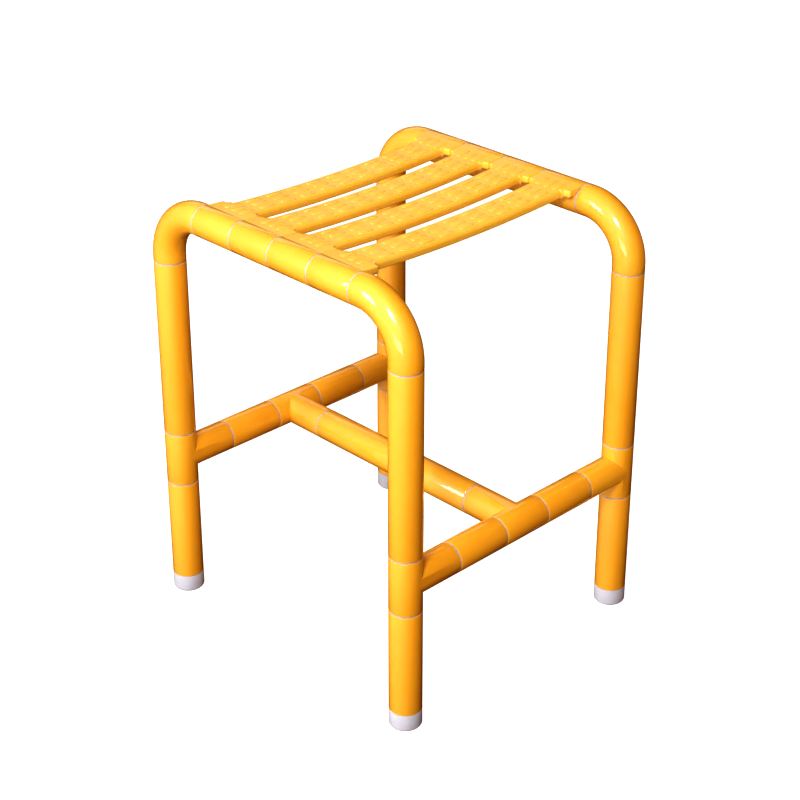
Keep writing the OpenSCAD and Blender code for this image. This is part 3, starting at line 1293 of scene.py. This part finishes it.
@dataclass
class Feet(SubAssembly):
    """The four end caps: a cup round the leg's tube, with a plug inside the tube."""

    round_bottom: float = 3 * MM
    bottom_steps: int = 8
    lip: float = 0.4 * MM
    lip_steps: int = 2
    ring_gap: float = 0.05 * MM
    plug_radius: float = 11.2 * MM
    plug_rim: float = 1.5 * MM
    cup_floor: float = 5.95 * MM

    def build(self) -> None:
        """Model one foot and copy it to each leg."""
        first = self._foot()
        for corner in CORNERS:
            name = f"foot_{corner.name}_cap"
            piece = Bench.copy(first, name, self.layout.leg(corner))
            self.keep(piece, f"foot_{corner.name}", "foot", self.finishes.foot)
        bpy.data.objects.remove(first)

    def _foot(self) -> bpy.types.Object:
        """Model a foot on the origin.

        Returns:
            The finished foot.
        """
        size = self.layout
        _, top = ends("foot_rear_right", Axis.Z)
        visible = ends("lower_sleeve_rear_right", Axis.Z)[0] - self.ring_gap
        foot = RoundPiece("foot", size.radius, 0.0, visible).build(HERE)
        Bench.bevel(foot, lambda p: p.z < CLOSE, self.round_bottom, self.bottom_steps)
        Bench.bevel(foot, lambda p: p.z > visible - CLOSE, self.lip, self.lip_steps)
        cup = RoundPiece("cup", size.bore, self.cup_floor, visible + MM)
        Bench.carve(foot, cup.build(HERE), "DIFFERENCE")
        plug = RoundPiece("plug", self.plug_radius, self.cup_floor - MM, top, rim=self.plug_rim)
        Bench.carve(foot, plug.build(HERE), "UNION")
        Bench.smooth(foot)
        return foot


@dataclass
class JointRings(SubAssembly):
    """The thin pale rings in the joints between mouldings."""

    rim: float = 0.25 * MM
    rim_steps: int = 2
    digits: int = 5

    NODES = {
        "rings_top_left": Axis.Y,
        "rings_top_right": Axis.Y,
        "rings_leg_rear_left": Axis.Z,
        "rings_leg_front_left": Axis.Z,
        "rings_leg_front_right": Axis.Z,
        "rings_leg_rear_right": Axis.Z,
        "rings_rail_front": Axis.X,
        "rings_rail_rear": Axis.X,
        "rings_stretcher": Axis.Y,
    }

    def build(self) -> None:
        """Model one ring and copy it into every joint."""
        low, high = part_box("rings_top_left")
        radius = (high.z - low.z) / 2
        half = self._places("rings_top_left", Axis.Y)[0][1]
        bore = self.layout.bore
        pattern = RoundPiece("ring", radius, -half, half, bore, self.rim, self.rim_steps)
        ring = pattern.build(HERE)
        Bench.smooth(ring)
        for node, axis in self.NODES.items():
            centre = middle(node)
            copies = []
            for number, (along, _) in enumerate(self._places(node, axis)):
                place = centre.copy()
                place[axis.value] = along
                turned = Matrix.Translation(place) @ axis.turn()
                copies.append(Bench.copy(ring, f"{node}_{number}", turned))
            piece = Bench.join(node + "_set", copies)
            self.keep(piece, node, "joint_ring", self.finishes.ring)
        bpy.data.objects.remove(ring)

    def _places(self, node: str, axis: Axis) -> list[tuple[float, float]]:
        """Find the rings of one CAD node from the flat faces of their two sides.

        Args:
            node: the CAD node.
            axis: the axis its rings lie along.

        Returns:
            For each ring its middle along the axis and half its width.
        """
        vertices = frame["nodes"][node].data.vertices
        marks = sorted({round(vert.co[axis.value], self.digits) for vert in vertices})
        pairs = zip(marks[::2], marks[1::2])
        return [((first + last) / 2, (last - first) / 2) for first, last in pairs]


@dataclass
class HiddenSteel:
    """The CAD's own steel tubes, cast cores and screws, dressed where they stand.

    Attributes:
        finishes: the stool's finishes.
        made: the nodes dressed so far.
    """

    finishes: Finishes
    made: list[bpy.types.Object] = field(default_factory=list)

    def build(self) -> None:
        """Give each node whose shape stays the finish of its material slot."""
        slots = {part["node"]: part["material_slot"] for part in frame["record"]["subparts"]}
        for name, node in frame["nodes"].items():
            material = self.finishes.by_slot.get(slots[name])
            if material is None:
                continue
            for slot in node.material_slots:
                slot.material = material
            self.made.append(node)


# ---------- studio ----------


@dataclass(frozen=True)
class SoftBox:
    """One area light.

    Attributes:
        name: the light's name.
        place: where it stands.
        size: its width and height.
        power: its strength in watts.
        colour: its colour.
    """

    name: str
    place: tuple[float, float, float]
    size: tuple[float, float]
    power: float
    colour: Colour = (1.0, 1.0, 1.0)

    def build(self, aim: Vector) -> None:
        """Hang the light and point it.

        Args:
            aim: the point that it faces.
        """
        lamp = bpy.data.lights.new(self.name, "AREA")
        lamp.shape = "RECTANGLE"
        lamp.size, lamp.size_y = self.size
        lamp.energy = self.power
        lamp.color = self.colour
        holder = bpy.data.objects.new(self.name, lamp)
        holder.location = self.place
        holder.rotation_euler = (aim - Vector(self.place)).to_track_quat("-Z", "Y").to_euler()
        bpy.context.scene.collection.objects.link(holder)


@dataclass
class Studio:
    """The camera, the floor and the lights."""

    camera_place: tuple[float, float, float] = (-1.2402, -1.2763, 1.1947)
    yaw: float = 45.741
    pitch: float = 26.115
    lens: float = 82.66
    rise: float = -0.075
    floor_size: float = 60.0
    floor_cells: int = 4
    backdrop: Colour = (0.93, 0.93, 0.93)
    sky_side: tuple[float, float, float] = (-0.85, 0.10, 0.50)
    sky: tuple[tuple[float, Colour], ...] = (
        (0.0, (0.05, 0.012, 0.003)),
        (0.45, (0.12, 0.040, 0.016)),
        (0.66, (0.40, 0.35, 0.33)),
        (1.0, (0.80, 0.80, 0.82)),
    )
    lights: tuple[SoftBox, ...] = (
        SoftBox("left_box", (-1.85, 0.62, 1.15), (0.55, 0.70), 13.0),
        SoftBox("front_left_box", (-1.25, -0.85, 1.60), (0.40, 0.45), 21.0),
        SoftBox("low_left_box", (-2.2, -0.9, 0.35), (1.2, 0.5), 8.0),
        SoftBox("rear_box", (1.3, 1.9, 1.5), (1.6, 0.8), 3.0),
        SoftBox("warm_fill", (1.9, -0.6, 0.3), (1.6, 1.4), 3.0, (1.0, 0.34, 0.06)),
    )

    def build(self) -> None:
        """Set up everything round the stool."""
        self._camera()
        self._floor()
        self._world()
        aim = (cad_box[0] + cad_box[1]) / 2
        for light in self.lights:
            light.build(aim)
        settings = bpy.context.scene.view_settings
        settings.view_transform = "Standard"
        settings.look = "High Contrast"

    def _camera(self) -> None:
        """Place the camera and make it the scene's."""
        camera = bpy.data.cameras.new("camera")
        camera.lens = self.lens
        camera.shift_y = self.rise
        yaw, pitch = math.radians(self.yaw), math.radians(self.pitch)
        ahead = Vector(
            (math.cos(pitch) * math.cos(yaw), math.cos(pitch) * math.sin(yaw), -math.sin(pitch))
        )
        holder = bpy.data.objects.new("camera", camera)
        holder.location = self.camera_place
        holder.rotation_euler = ahead.to_track_quat("-Z", "Y").to_euler()
        bpy.context.scene.collection.objects.link(holder)
        bpy.context.scene.camera = holder

    def _floor(self) -> None:
        """Lay the pale floor that the feet stand on."""
        bpy.ops.mesh.primitive_grid_add(
            x_subdivisions=self.floor_cells, y_subdivisions=self.floor_cells, size=self.floor_size
        )
        floor = Bench.settle("floor", HERE)
        floor.data.materials.append(StudioFloor().make())
        floor.visible_diffuse = False
        floor.visible_glossy = False

    def _world(self) -> None:
        """Light the room softly from the left and front, and show a pale backdrop."""
        world = bpy.data.worlds.new("studio")
        world.use_nodes = True
        bpy.context.scene.world = world
        tree = world.node_tree
        nodes, link = tree.nodes, tree.links.new
        facing = nodes.new("ShaderNodeVectorMath")
        facing.operation = "DOT_PRODUCT"
        facing.inputs[1].default_value = Vector(self.sky_side).normalized()
        link(nodes.new("ShaderNodeTexCoord").outputs["Generated"], facing.inputs[0])
        ramp = nodes.new("ShaderNodeValToRGB")
        for stop, (place, colour) in zip(self._stops(ramp), self.sky):
            stop.position = place
            stop.color = (*colour, 1.0)
        rise = nodes.new("ShaderNodeMapRange")
        rise.inputs["From Min"].default_value = -1.0
        link(facing.outputs["Value"], rise.inputs["Value"])
        link(rise.outputs["Result"], ramp.inputs["Fac"])
        seen = nodes.new("ShaderNodeMix")
        seen.data_type = "RGBA"
        link(nodes.new("ShaderNodeLightPath").outputs["Is Camera Ray"], seen.inputs["Factor"])
        colours = [socket for socket in seen.inputs if socket.type == "RGBA"]
        link(ramp.outputs["Color"], colours[0])
        colours[1].default_value = (*self.backdrop, 1.0)
        result = next(socket for socket in seen.outputs if socket.type == "RGBA")
        link(result, nodes["Background"].inputs["Color"])

    def _stops(self, ramp: bpy.types.ShaderNodeValToRGB) -> list[bpy.types.ColorRampElement]:
        """Give a colour ramp as many stops as the sky has colours, and return them."""
        while len(ramp.color_ramp.elements) < len(self.sky):
            ramp.color_ramp.elements.new(0.5)
        return list(ramp.color_ramp.elements)


# ---------- putting it together ----------


def main() -> None:
    """Build the stool and its studio, and report each piece."""
    logging.basicConfig(level=logging.INFO, format="%(name)s: %(message)s")
    layout = Layout.read()
    finishes = Finishes()
    groups = (
        StraightMouldings(layout, finishes),
        Elbows(layout, finishes),
        Tees(layout, finishes),
        Slats(layout, finishes),
        Feet(layout, finishes),
        JointRings(layout, finishes),
        HiddenSteel(finishes),
    )
    for group in groups:
        group.build()
        for piece in group.made:
            LOG.info("%s: %s, %d faces", type(group).__name__, piece.name, len(piece.data.polygons))
    Studio().build()


if __name__ == "__main__":
    main()
